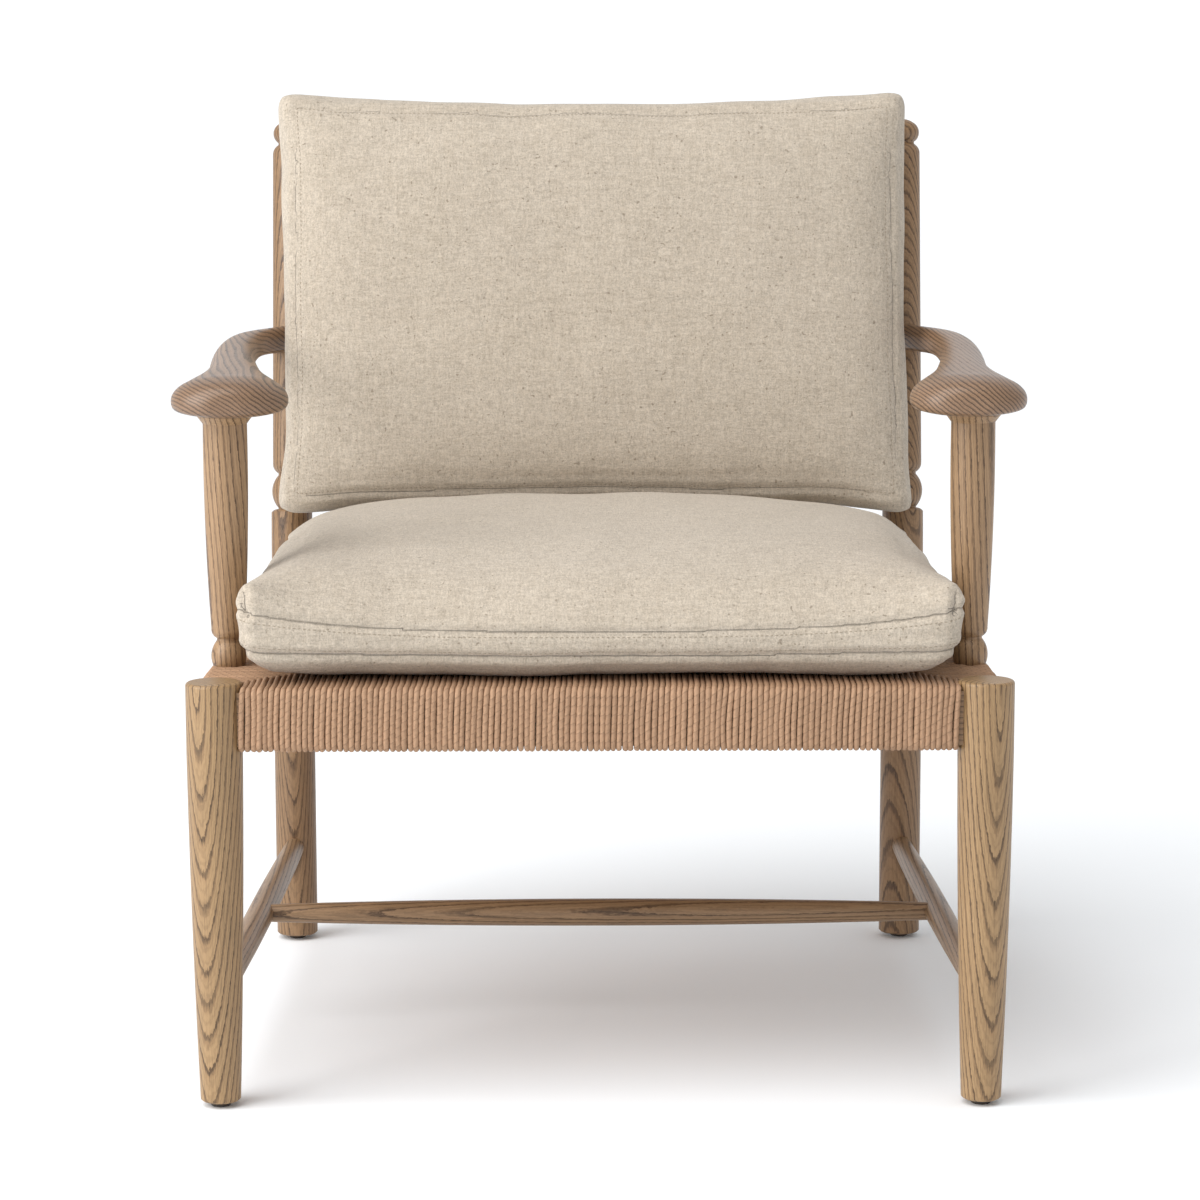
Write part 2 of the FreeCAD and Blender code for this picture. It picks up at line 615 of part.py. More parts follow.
def build():
    pieces = {}

    # Turned and bent members of the right side
    leg = front_leg()
    post = rear_leg()
    support = arm_post()
    rest = arm()

    # Seat rails and their tenons
    side_board, side_tenon = side_rail()
    front_board, front_tenon = cross_rail(FRONT_LEG_Y, FRONT_LEG_X)
    rear_board, rear_tenon = cross_rail(REAR_LEG_Y, REAR_LEG_X)
    uprights = [leg, mirrored(leg), post, mirrored(post), support, mirrored(support)]
    side = side_board.cut(leg.fuse(post)).fuse(side_tenon).removeSplitter().cut(support)
    front = front_board.cut(leg.fuse(mirrored(leg))).fuse(front_tenon).removeSplitter()
    rear = rear_board.cut(post.fuse(mirrored(post))).fuse(rear_tenon).removeSplitter()

    # Stretchers: their shoulders are coped to the legs, and their pegs go into them
    shoulder = 12
    peg_end = 6
    peg_r = 7.0
    cross_shoulder = 3
    cross_peg_end = 4
    cross_peg_r = 6.0
    stub = 0.5
    ends = [
        Vector(FRONT_LEG_X, FRONT_LEG_Y, STRETCHER_Z),
        Vector(REAR_LEG_X, REAR_LEG_Y, STRETCHER_Z),
    ]
    along = (ends[1] - ends[0]).normalize()
    side_bar = stretched(
        ends[0] + along * shoulder, ends[1] - along * shoulder, STRETCHER_END_R, STRETCHER_MID_R, peg_r, stub
    )
    side_peg = rod(ends[0] + along * peg_end, ends[1] - along * peg_end, peg_r)
    side_bar = side_bar.cut(leg.fuse(post)).fuse(side_peg).removeSplitter()
    middle_x = (FRONT_LEG_X + REAR_LEG_X) / 2
    middle_y = (FRONT_LEG_Y + REAR_LEG_Y) / 2
    cross_left = Vector(-middle_x, middle_y, STRETCHER_Z)
    cross_right = Vector(middle_x, middle_y, STRETCHER_Z)
    to_shoulder = Vector(cross_shoulder, 0, 0)
    to_peg = Vector(cross_peg_end, 0, 0)
    cross_bar = stretched(
        cross_left + to_shoulder, cross_right - to_shoulder, CROSS_END_R, CROSS_MID_R, cross_peg_r, stub
    )
    cross_peg = rod(cross_left + to_peg, cross_right - to_peg, cross_peg_r)
    cross_bar = cross_bar.cut(side_bar.fuse(mirrored(side_bar))).fuse(cross_peg).removeSplitter()
    side_bar = side_bar.cut(cross_bar)

    # Back slats
    slats = {
        "back_slat_" + name: slat(low, low + SLAT_HEIGHT) for name, low in SLAT_STARTS.items()
    }

    # Arm joints
    support_y = FRONT_LEG_Y + ARM_POST_BACK
    tenon = arm_tenon()
    screw = arm_screw()
    plug = screw_plug().common(post).cut(screw)
    socket_low = Vector(side_x(support_y), support_y, ARM_BOTTOM - 6)
    socket = Part.makeCylinder(ARM_POST_TENON_R, ARM_POST_TENON + 6, socket_low)
    rest = rest.cut(post).fuse(tenon).cut(socket).cut(screw)

    # Glides under the four legs, each held by a nail
    glides = []
    nails = []
    for x, y in ((FRONT_LEG_X, FRONT_LEG_Y), (REAR_LEG_X, REAR_LEG_Y)):
        disc, nail = glide(x, y)
        disc = disc.cut(nail)
        glides += [disc, mirrored(disc)]
        nails += [nail, mirrored(nail)]
    all_nails = Part.makeCompound(nails)

    # Mortises in the legs and posts
    leg = leg.cut(front_tenon).cut(side_tenon).cut(side_peg).cut(all_nails)
    post = post.cut(rear_tenon).cut(side_tenon).cut(side_peg).cut(all_nails)
    for board in slats.values():
        post = post.cut(board)
    post = post.cut(tenon).cut(screw).cut(plug)

    for name, right in (
        ("front_leg", leg),
        ("rear_leg", post),
        ("side_rail", side),
        ("arm_post", support),
        ("arm", rest),
        ("side_stretcher", side_bar),
    ):
        pieces[name + "_right"] = right
        pieces[name + "_left"] = mirrored(right)
    pieces["front_rail"] = front
    pieces["rear_rail"] = rear
    pieces["cross_stretcher"] = cross_bar
    pieces.update(slats)
    pieces["arm_screws"] = both(screw)
    pieces["arm_plugs"] = both(plug)
    pieces["leg_glides"] = Part.makeCompound(glides)
    pieces["glide_nails"] = all_nails

    # Paper-cord seat
    for name, panel in {**weave_panels(), "seat_stuffing": stuffing()}.items():
        for solid in uprights:
            panel = panel.cut(solid)
        pieces[name] = panel

    # Cushions: a cover around a filling, with its zip let into the cover
    for name, outer, inner, strip in (
        ("seat_cushion", seat_pillow(0), seat_pillow(-COVER), seat_zip()),
        ("back_cushion", back_pillow(0), back_pillow(-COVER), back_zip()),
    ):
        strip = strip.common(outer).cut(inner)
        pieces[name + "_cover"] = outer.cut(inner).cut(strip)
        pieces[name + "_filling"] = inner
        pieces[name + "_zip"] = strip
    pieces["cushion_tie"] = tie_tape()

    for name, shape in sorted(pieces.items()):
        export(name, shape)
    whole = Part.makeCompound(list(pieces.values())).BoundBox
    print(
        f"whole x {whole.XMin:.2f} {whole.XMax:.2f} y {whole.YMin:.2f} {whole.YMax:.2f} "
        f"z {whole.ZMin:.2f} {whole.ZMax:.2f}"
    )


build()
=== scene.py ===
import math

import bmesh
import bpy
import numpy as np
from mathutils import Matrix, Vector, noise
from mathutils.bvhtree import BVHTree
from mathutils.kdtree import KDTree


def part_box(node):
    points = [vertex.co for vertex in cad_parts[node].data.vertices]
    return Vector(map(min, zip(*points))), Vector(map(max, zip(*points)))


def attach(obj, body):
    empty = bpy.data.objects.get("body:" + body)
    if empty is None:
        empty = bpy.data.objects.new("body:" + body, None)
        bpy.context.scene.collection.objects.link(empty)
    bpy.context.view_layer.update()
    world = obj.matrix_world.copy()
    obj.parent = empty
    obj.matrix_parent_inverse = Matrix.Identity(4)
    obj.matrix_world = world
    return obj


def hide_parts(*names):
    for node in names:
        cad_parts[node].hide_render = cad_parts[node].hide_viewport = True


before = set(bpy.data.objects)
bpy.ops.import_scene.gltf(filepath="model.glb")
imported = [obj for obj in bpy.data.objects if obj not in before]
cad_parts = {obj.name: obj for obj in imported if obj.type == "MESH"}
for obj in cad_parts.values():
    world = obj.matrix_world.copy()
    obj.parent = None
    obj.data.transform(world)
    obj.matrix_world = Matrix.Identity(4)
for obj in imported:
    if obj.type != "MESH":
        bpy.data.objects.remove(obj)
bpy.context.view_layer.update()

# The chair's own dimensions, in metres, as in the CAD model
FRONT_LEG = (0.340, -0.3488, 0.0249)
REAR_LEG = (0.319, 0.2732, 0.0213)
ARM_POST = (0.3364, -0.2428)
RAIL_TOP = 0.376
RAIL_LOW = 0.328
RAIL_HALF = 0.013
WEAVE_TOP = 0.381
RAKE = math.radians(10.5)
LEAN_Z = 0.4191
CORD_R = 0.0026
CORD_PITCH = 0.0051
RNG = np.random.default_rng(7)
WHITE = (1.0,) * 3
BLACK = (0.0,) * 3


# ---------------------------------------------------------------- shader helpers


class Nodes:
    """A short way to write a node tree: add(kind, value for each input, ...)."""

    def __init__(self, material):
        material.use_nodes = True
        self.tree = material.node_tree
        self.tree.nodes.clear()

    def add(self, kind, settings=None, **inputs):
        node = self.tree.nodes.new("ShaderNode" + kind)
        for key, value in (settings or {}).items():
            setattr(node, key, value)
        for key, value in inputs.items():
            name = key.replace("_", " ")
            socket = node.inputs[int(key[1:])] if key[0] == "i" and key[1:].isdigit() else node.inputs[name]
            if isinstance(value, bpy.types.NodeSocket):
                self.tree.links.new(value, socket)
            else:
                socket.default_value = value
        return node

    def math(self, operation, a, b=0.0):
        return self.add("Math", {"operation": operation}, i0=a, i1=b).outputs[0]

    def vector(self, operation, a, b):
        return self.add("VectorMath", {"operation": operation}, i0=a, i1=b).outputs[0]

    def ramp(self, factor, stops):
        node = self.add("ValToRGB", i0=factor)
        elements = node.color_ramp.elements
        while len(elements) < len(stops):
            elements.new(0.5)
        for element, (place, colour) in zip(elements, stops):
            element.position = place
            element.color = colour if len(colour) == 4 else (*colour, 1.0)
        return node.outputs[0]

    def mix(self, factor, a, b, blend="MIX"):
        node = self.add("Mix", {"data_type": "RGBA", "blend_type": blend}, i0=factor, i6=a, i7=b)
        return node.outputs[2]

    def noise(self, vector, scale, detail=2.0, rough=0.5, kind="Fac"):
        node = self.add("TexNoise", Vector=vector, Scale=scale, Detail=detail, Roughness=rough)
        return node.outputs[kind]

    def rings(self, vector, spacing, profile, **settings):
        """Year rings round the vector's Z axis, one every spacing metres."""
        kind = {"wave_type": "RINGS", "rings_direction": "Z", "wave_profile": profile}
        scale = math.pi / 10 / spacing
        return self.add("TexWave", kind, Vector=vector, Scale=scale, **settings).outputs["Fac"]

    def strayed(self, vector, scatter, amount):
        """The vector pushed across the grain by a noise colour, by amount metres."""
        shift = self.vector("SUBTRACT", scatter, (0.5, 0.5, 0.5))
        return self.vector("ADD", vector, self.vector("MULTIPLY", shift, (amount, amount, 0)))

    def mapped(self, vector, scale=(1, 1, 1), location=(0, 0, 0), rotation=(0, 0, 0)):
        return self.add("Mapping", Vector=vector, Scale=scale, Location=location, Rotation=rotation).outputs[0]

    def finish(self, colour, roughness, height, strength, distance, **settings):
        bump = self.add("Bump", Height=height, Strength=strength, Distance=distance)
        shader = self.add("BsdfPrincipled", Base_Color=colour, Roughness=roughness, Normal=bump.outputs[0])
        for key, value in settings.items():
            shader.inputs[key.replace("_", " ")].default_value = value
        output = self.add("OutputMaterial")
        self.tree.links.new(shader.outputs[0], output.inputs[0])


def linear(red, green, blue):
    """A colour given the way a paint chart gives it, 0 to 255, as the shader wants it."""
    def one(v):
        v /= 255
        return v / 12.92 if v <= 0.04045 else ((v + 0.055) / 1.055) ** 2.4
    return (one(red), one(green), one(blue), 1.0)


def dimmed(colour, share):
    return (*(c * share for c in colour[:3]), 1.0)


# ---------------------------------------------------------------- materials


GRAIN_TURN = {"X": (0, math.radians(-90), 0), "Y": (math.radians(90), 0, 0), "Z": (0, 0, 0)}
# The arms' brushed, close-grained finish, then the plain one: the soft bands' share of a ring, their darkness, how
# far the rings wander (m), how frayed they are, their relief and the weight of the oil's gloss
BRUSHED = {"band": 0.24, "line": 0.17, "wander": 0.008, "fray": 0.25, "relief": 1.2, "coat": 0.35}
SMOOTH = {"band": 0.12, "line": 0.24, "wander": 0.006, "fray": 0.42, "relief": 0.25, "coat": 0.15}


def ash(name, axis, centre, pith, spacing, tone, tilt, seed):
    """Oiled ash. axis is the way the grain runs, pith how far the tree's heart lies from the member's middle, in the
    member's own across directions, and spacing the year rings' distance."""
    material = bpy.data.materials.new(name)
    n = Nodes(material)
    look = BRUSHED if spacing < 0.0035 else SMOOTH
    place = n.add("TexCoord").outputs["Object"]
    centred = n.mapped(place, location=tuple(-c for c in centre))
    along = n.mapped(centred, rotation=GRAIN_TURN[axis])
    tilted = n.mapped(along, location=(*pith, seed), rotation=(*tilt, 0))
    drawn = n.mapped(tilted, scale=(1, 1, 0.10))
    smooth = n.strayed(tilted, n.noise(drawn, 16.0, 3.0, 0.55, "Color"), look["wander"] * 2)
    tooth = n.noise(n.mapped(along, scale=(1, 1, 0.22)), 650.0, 2.0, 0.6, "Color")
    bent = n.strayed(smooth, tooth, spacing * look["fray"])
    rings = n.rings(bent, spacing, "SAW", Distortion=0.0)
    fine = n.rings(bent, spacing * 0.37, "SIN", Distortion=2.0, Detail=1.0)
    fibre = n.noise(n.mapped(along, scale=(1, 1, 0.02)), 900.0)
    pores = n.noise(n.mapped(along, scale=(1, 1, 0.035)), 1500.0, 1.0)
    patches = n.noise(n.mapped(drawn, scale=(1, 1, 0.6)), 30.0)

    band = look["band"]
    middle = dimmed((tone[0], tone[1] * 0.95, tone[2] * 0.9), 0.78)
    dark = dimmed((tone[0], tone[1] * 0.86, tone[2] * 0.76), look["line"])
    early = n.ramp(rings, [
        (0.0, dark), (band, dark), (band + 0.12, middle), (band + 0.30, tone), (0.94, tone), (1.0, middle),
    ])
    even = n.mix(n.ramp(patches, [(0.4, BLACK), (0.75, (0.38,) * 3)]), early, middle)
    lined = n.mix(0.22, even, n.ramp(fine, [(0.1, dimmed(dark, 1.25)), (0.6, tone)]))
    streaked = n.mix(0.55, lined, n.ramp(fibre, [(0.32, (0.62,) * 3), (0.55, WHITE)]), "MULTIPLY")
    early_wood = n.ramp(rings, [(0.0, WHITE), (0.28, (0.35,) * 3), (0.5, (0.10,) * 3)])
    pore_mask = n.math("MULTIPLY", n.ramp(pores, [(0.58, BLACK), (0.66, WHITE)]), early_wood)
    pored = n.mix(pore_mask, streaked, dimmed(dark, 0.62))
    broad = n.noise(n.mapped(place, location=(seed, seed, seed)), 7.0)
    toned = n.mix(0.6, pored, n.ramp(broad, [(0.3, (0.80, 0.78, 0.76)), (0.7, WHITE)]), "MULTIPLY")

    gloss = n.ramp(pore_mask, [(0.0, (0.46,) * 3), (1.0, (0.72,) * 3)])
    relief = n.math("SUBTRACT", n.math("MULTIPLY", fibre, 0.5), n.math("MULTIPLY", pore_mask, 0.7))
    relief = n.math("ADD", relief, n.math("MULTIPLY", rings, look["relief"]))
    n.finish(toned, gloss, relief, 0.35, 0.0004,
             Specular_IOR_Level=0.45, Coat_Weight=look["coat"], Coat_Roughness=0.34)
    return material


def linen(name, light, shade):
    """Undyed slubby linen: threads along and across, slubs, darker flecks, a faint unevenness and painted shade in a
    thin line along each seam. The mesh's seam_far is the distance from the nearest seam, and seam_side the same with
    the seam's side as its sign."""
    material = bpy.data.materials.new(name)
    n = Nodes(material)
    place = n.add("TexCoord").outputs["Object"]
    warp = n.noise(n.mapped(place, scale=(1, 0.30, 0.30)), 560.0, 2.0, 0.6)
    weft = n.noise(n.mapped(place, scale=(0.30, 1, 1)), 540.0, 2.0, 0.6)
    slubs = n.noise(n.mapped(place, scale=(0.16, 1, 1), location=(1, 2, 3)), 260.0, 2.0, 0.6)
    rises = n.noise(n.mapped(place, scale=(1, 0.16, 0.16), location=(4, 2, 1)), 280.0, 2.0, 0.6)
    knots = n.noise(place, 700.0, 2.0, 0.7)
    flecks = n.noise(n.mapped(place, location=(3, 5, 7)), 300.0, 0.0)
    cloudy = n.noise(place, 9.0, 2.0)
    threads = n.math("ADD", n.math("MULTIPLY", warp, 0.5), n.math("MULTIPLY", weft, 0.5))
    body = n.math("ADD", n.math("MULTIPLY", threads, 0.55), n.math("MULTIPLY", knots, 0.45))
    cloth = n.ramp(body, [(0.40, dimmed(light, 0.76)), (0.50, dimmed(light, 0.95)), (0.60, dimmed(light, 1.14))])
    slubbed = n.mix(0.35, cloth, n.ramp(slubs, [(0.36, (0.80, 0.78, 0.75)), (0.6, WHITE)]), "MULTIPLY")
    crossed = n.mix(0.35, slubbed, n.ramp(rises, [(0.36, (0.84, 0.82, 0.79)), (0.6, WHITE)]), "MULTIPLY")
    flecked = n.mix(n.ramp(flecks, [(0.76, BLACK), (0.82, (0.55,) * 3)]), crossed, dimmed(shade, 0.55))
    clouded = n.mix(0.5, flecked, n.ramp(cloudy, [(0.3, (0.94, 0.935, 0.92)), (0.7, WHITE)]), "MULTIPLY")
    across = n.math("ABSOLUTE", n.add("Attribute", {"attribute_name": "seam_side"}).outputs["Fac"])
    near = n.math("LESS_THAN", n.add("Attribute", {"attribute_name": "seam_far"}).outputs["Fac"], 0.0045)
    # the seam furrow's profile, used both for its bump and for painted shade
    seam_dip_and_shade = n.ramp(n.math("MULTIPLY", across, 400.0), [(0.08, WHITE), (0.28, (0.35,) * 3), (0.55, BLACK)])
    sewn = n.math("MULTIPLY", seam_dip_and_shade, near)
    # painted shade: the linen is darkened in a thin line along each seam, where the furrow's shadow falls
    lined = n.mix(n.math("MULTIPLY", sewn, 0.38), clouded, dimmed(shade, 0.35))
    relief = n.math("SUBTRACT", body, n.math("MULTIPLY", sewn, 1.2))
    n.finish(lined, 0.93, relief, 0.8, 0.0016, Sheen_Weight=0.18, Sheen_Roughness=0.5, Specular_IOR_Level=0.2)


def thread(name, colour):
    """Plied sewing thread."""
    material = bpy.data.materials.new(name)
    n = Nodes(material)
    place = n.add("TexCoord").outputs["Object"]
    ply = n.noise(place, 2500.0, 1.0)
    tint = n.ramp(ply, [(0.35, dimmed(colour, 0.7)), (0.65, colour)])
    n.finish(tint, 0.8, ply, 0.4, 0.0002, Specular_IOR_Level=0.25)


def paper_cord(name, light, dark):
    """Twisted unbleached paper, with painted shade darkening the twist's grooves. The mesh's UV map runs along the
    cord (u, metres) and from cord to cord (v).
    """
    material = bpy.data.materials.new(name)
    n = Nodes(material)
    place = n.add("TexCoord").outputs["Object"]
    uv = n.add("UVMap", {"uv_map": "cord"}).outputs[0]
    run, number = n.add("SeparateXYZ", Vector=uv).outputs[:2]
    each = n.add("TexWhiteNoise", {"noise_dimensions": "1D"}, W=n.math("FLOOR", number)).outputs[0]
    spun = n.add("CombineXYZ", X=n.math("MULTIPLY", run, 260.0), Y=n.math("MULTIPLY", number, 9.0))
    creases = n.noise(spun.outputs[0], 1.0, 3.0, 0.6)
    turns = n.math("ADD", n.math("MULTIPLY", run, 125.0), number)
    twist = n.math("PINGPONG", n.math("MULTIPLY", turns, 2.0), 1.0)
    groove = n.math("SMOOTH_MIN", n.math("MULTIPLY", twist, 3.0), 1.0)
    fibres = n.noise(place, 1800.0, 2.0)
    tone = n.ramp(creases, [(0.3, dimmed(light, 0.80)), (0.6, light)])
    # painted shade: the twist's grooves are darkened towards the dark colour
    groove_shaded = n.mix(n.ramp(groove, [(0.0, (0.38,) * 3), (0.5, BLACK)]), tone, dark)
    shades = n.ramp(each, [(0.0, (0.84, 0.82, 0.80)), (0.5, (0.97, 0.96, 0.95)), (1.0, (1.06, 1.05, 1.04))])
    own = n.mix(0.8, groove_shaded, shades, "MULTIPLY")
    relief = n.math("ADD", n.math("MULTIPLY", groove, 0.8), n.math("MULTIPLY", fibres, 0.3))
    n.finish(own, 0.72, relief, 0.5, 0.0006, Specular_IOR_Level=0.35)
    return material


def plain(name, light, dark, scale, roughness, metallic=0.0):
    """Small hidden fittings: card, nylon, steel and tape, with a fine uneven surface."""
    material = bpy.data.materials.new(name)
    n = Nodes(material)
    place = n.add("TexCoord").outputs["Object"]
    grain = n.noise(place, scale, 3.0, 0.6)
    colour = n.ramp(grain, [(0.3, dark), (0.7, light)])
    gloss = n.ramp(grain, [(0.3, (roughness * 0.85,) * 3), (0.7, (min(1.0, roughness * 1.15),) * 3)])
    n.finish(colour, gloss, grain, 0.25, 0.0004, Metallic=metallic)
    return material


def paint_frame():
    """Every CAD piece of the frame gets its own cut of wood, or its fitting's material. For the wood: the grain's
    direction, colour, place of the pith, ring spacing and tilt of the grain."""
    leg = linear(172, 140, 100)
    # painted shade: the rear members' tone is darker than the front legs' to stand for the shade the rear legs stand
    # in; the rails and arm plugs share it
    rear_shaded = linear(156, 123, 88)
    post = linear(178, 144, 107)
    arm = linear(152, 120, 92)
    bar = linear(155, 125, 93)
    plans = {
        "front_leg_left": ("Z", leg, (0.024, 0.046), 0.0050, (0.13, -0.05)),
        "front_leg_right": ("Z", dimmed(leg, 1.02), (-0.018, 0.044), 0.0052, (0.12, 0.04)),
        "rear_leg_left": ("Z", rear_shaded, (0.006, 0.046), 0.0040, (0.10, 0.02)),
        "rear_leg_right": ("Z", rear_shaded, (-0.008, 0.044), 0.0042, (-0.11, 0.02)),
        "arm_post_left": ("Z", post, (0.038, 0.014), 0.0052, (0.04, 0.06)),
        "arm_post_right": ("Z", dimmed(post, 0.93), (-0.034, 0.018), 0.0056, (-0.05, 0.05)),
        "arm_left": ("Y", arm, (0.120, -0.200), 0.0034, (0.05, 0.03)),
        "arm_right": ("Y", arm, (0.150, -0.195), 0.0034, (0.05, -0.03)),
        "side_stretcher_left": ("Y", bar, (0.016, 0.030), 0.0040, (0.03, 0.02)),
        "side_stretcher_right": ("Y", bar, (-0.018, 0.030), 0.0040, (-0.03, 0.02)),
        "cross_stretcher": ("X", bar, (0.012, 0.030), 0.0040, (0.03, 0.03)),
        "front_rail": ("X", rear_shaded, (0.05, 0.03), 0.0050, (0.03, 0.0)),
        "rear_rail": ("X", rear_shaded, (0.05, -0.03), 0.0050, (0.03, 0.0)),
        "side_rail_left": ("Y", rear_shaded, (0.05, 0.03), 0.0050, (0.03, 0.0)),
        "side_rail_right": ("Y", rear_shaded, (-0.05, 0.03), 0.0050, (0.03, 0.0)),
        "back_slat_lower": ("X", post, (0.02, 0.06), 0.0046, (0.04, 0.02)),
        "back_slat_middle": ("X", post, (0.03, 0.05), 0.0050, (-0.03, 0.03)),
        "back_slat_upper": ("X", post, (-0.02, 0.06), 0.0048, (0.03, -0.03)),
        "arm_plugs": ("Y", dimmed(rear_shaded, 0.85), (0.02, 0.02), 0.0026, (0.03, 0.0)),
    }
    for i, (node, (axis, tone, pith, spacing, tilt)) in enumerate(plans.items()):
        low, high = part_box(node)
        centre = tuple((a + b) / 2 for a, b in zip(low, high))
        assign(node, ash("ash_" + node, axis, centre, pith, spacing, tone, tilt, 0.37 * i))
    assign("arm_screws", plain("steel", linear(172, 170, 166), linear(120, 118, 115), 900, 0.35, 1.0))
    assign("glide_nails", plain("nail_steel", linear(165, 163, 160), linear(110, 108, 106), 900, 0.4, 1.0))
    assign("leg_glides", plain("glide_nylon", linear(70, 60, 52), linear(48, 41, 36), 400, 0.45))
    assign("seat_stuffing", plain("card", linear(170, 140, 104), linear(138, 110, 80), 160, 0.9))


def assign(node, material):
    """A CAD node's new finish, with its edges eased a little in the shading."""
    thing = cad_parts[node]
    thing.data.materials.clear()
    thing.data.materials.append(material)
    for polygon in thing.data.polygons:
        polygon.use_smooth = True
        polygon.material_index = 0
    split = thing.modifiers.new("edges", "EDGE_SPLIT")
    split.split_angle = math.radians(32)


# ---------------------------------------------------------------- mesh helpers


def mesh_object(name, points, faces, material, smooth=True):
    mesh = bpy.data.meshes.new(name)
    mesh.from_pydata([tuple(p) for p in points], [], [tuple(f) for f in faces])
    mesh.validate()
    mesh.materials.append(material)
    mesh.polygons.foreach_set("use_smooth", [smooth] * len(mesh.polygons))
    thing = bpy.data.objects.new(name, mesh)
    bpy.context.scene.collection.objects.link(thing)
    return thing


def tube_faces(base, rows, sides):
    """Faces between rows of points, each row going once round a tube."""
    faces = []
    for a in range(base, base + (rows - 1) * sides, sides):
        for k in range(sides):
            m = (k + 1) % sides
            faces.append((a + k, a + m, a + sides + m, a + sides + k))
    return faces


def vertex_values(mesh, key):
    """The mesh points' places ("co") or normals ("normal")."""
    values = np.zeros(len(mesh.vertices) * 3)
    mesh.vertices.foreach_get(key, values)
    return values.reshape(-1, 3)


def with_modifiers(thing):
    """A new mesh: the object's, with its modifiers applied."""
    graph = bpy.context.evaluated_depsgraph_get()
    return bpy.data.meshes.new_from_object(thing.evaluated_get(graph))


def lean(points):
    """Points given as (across, forward of the posts, up the posts), leaned back with them."""
    points = np.asarray(points, float)
    x, w, s = points[:, 0], points[:, 1], points[:, 2]
    y = REAR_LEG[1] - w * math.cos(RAKE) + s * math.sin(RAKE)
    z = LEAN_Z + w * math.sin(RAKE) + s * math.cos(RAKE)
    return np.stack([x, y, z], axis=1)


def unlean(points):
    """The inverse of lean."""
    points = np.asarray(points, float)
    dy = REAR_LEG[1] - points[:, 1]
    dz = points[:, 2] - LEAN_Z
    w = dy * math.cos(RAKE) + dz * math.sin(RAKE)
    s = -dy * math.sin(RAKE) + dz * math.cos(RAKE)
    return np.stack([points[:, 0], w, s], axis=1)


def ramp_line(x, stops):
    """The height at x of the line through the stops."""
    xs, ys = zip(*stops)
    return np.interp(x, xs, ys)


# ---------------------------------------------------------------- paper-cord seat


CORD_BEND = 0.0055  # radius of the bend over the rail's edges
CORD_REACH = 0.020  # where the cord leaves the rail for the open seat
CORD_SIDES = 10
TWIST_LENGTH = 0.016
MITRE_LEAST = 0.028


def steps(a, b, count):
    """The numbers after a on the way to b, in equal steps."""
    return [a + (b - a) * i / count for i in range(1, count + 1)]


def cord_path(mitre, jitter):
    """One cord, in the plane (distance in from the rail's outer face, height): in over the rail, down its outer face
    and back under the seat."""
    top = RAIL_TOP + CORD_R + jitter
    low = RAIL_LOW - CORD_R
    out = -CORD_R
    bend = CORD_BEND
    open_steps = max(1, int((mitre - CORD_REACH) / 0.03))
    quarter = steps(0, math.pi / 2, 6)
    points = [(mitre, top)]
    points += [(x, top) for x in steps(mitre, CORD_REACH, open_steps) + steps(CORD_REACH, bend + out, 9)]
    points += [(bend + out - bend * math.sin(t), top - bend + bend * math.cos(t)) for t in quarter]
    points += [(out, z) for z in steps(top - bend, low + bend, 32)]
    points += [(out + bend - bend * math.cos(t), low + bend - bend * math.sin(t)) for t in quarter]
    points += [(x, low) for x in steps(out + bend, CORD_REACH, 3) + steps(CORD_REACH, mitre, open_steps)]
    return points


def cord_slide(inside, height, lean_low, sway):
    """How far a cord strays sideways from its place: down the rail's face, and back from the edge on top."""
    drop = min(1.0, max(0.0, (RAIL_TOP - height) / 0.05))
    back = min(1.0, max(0.0, (inside + 0.0025) / 0.018)) if height > RAIL_TOP else 0.0
    down = lean_low * math.sin(drop * math.pi / 2) + sway * math.sin(drop * math.pi)
    return down + 0.0022 * back * (1 - back * 0.4)


def cord_section(centre, along, normal, turn, radius):
    """The points round one twisted cord: a section with two lobes, turned by the twist."""
    points = []
    for k in range(CORD_SIDES):
        angle = 2 * math.pi * k / CORD_SIDES
        r = radius * (0.88 + 0.12 * abs(math.cos(angle - turn)))
        points.append(centre + along * math.cos(angle) * r - normal * math.sin(angle) * r)
    return points


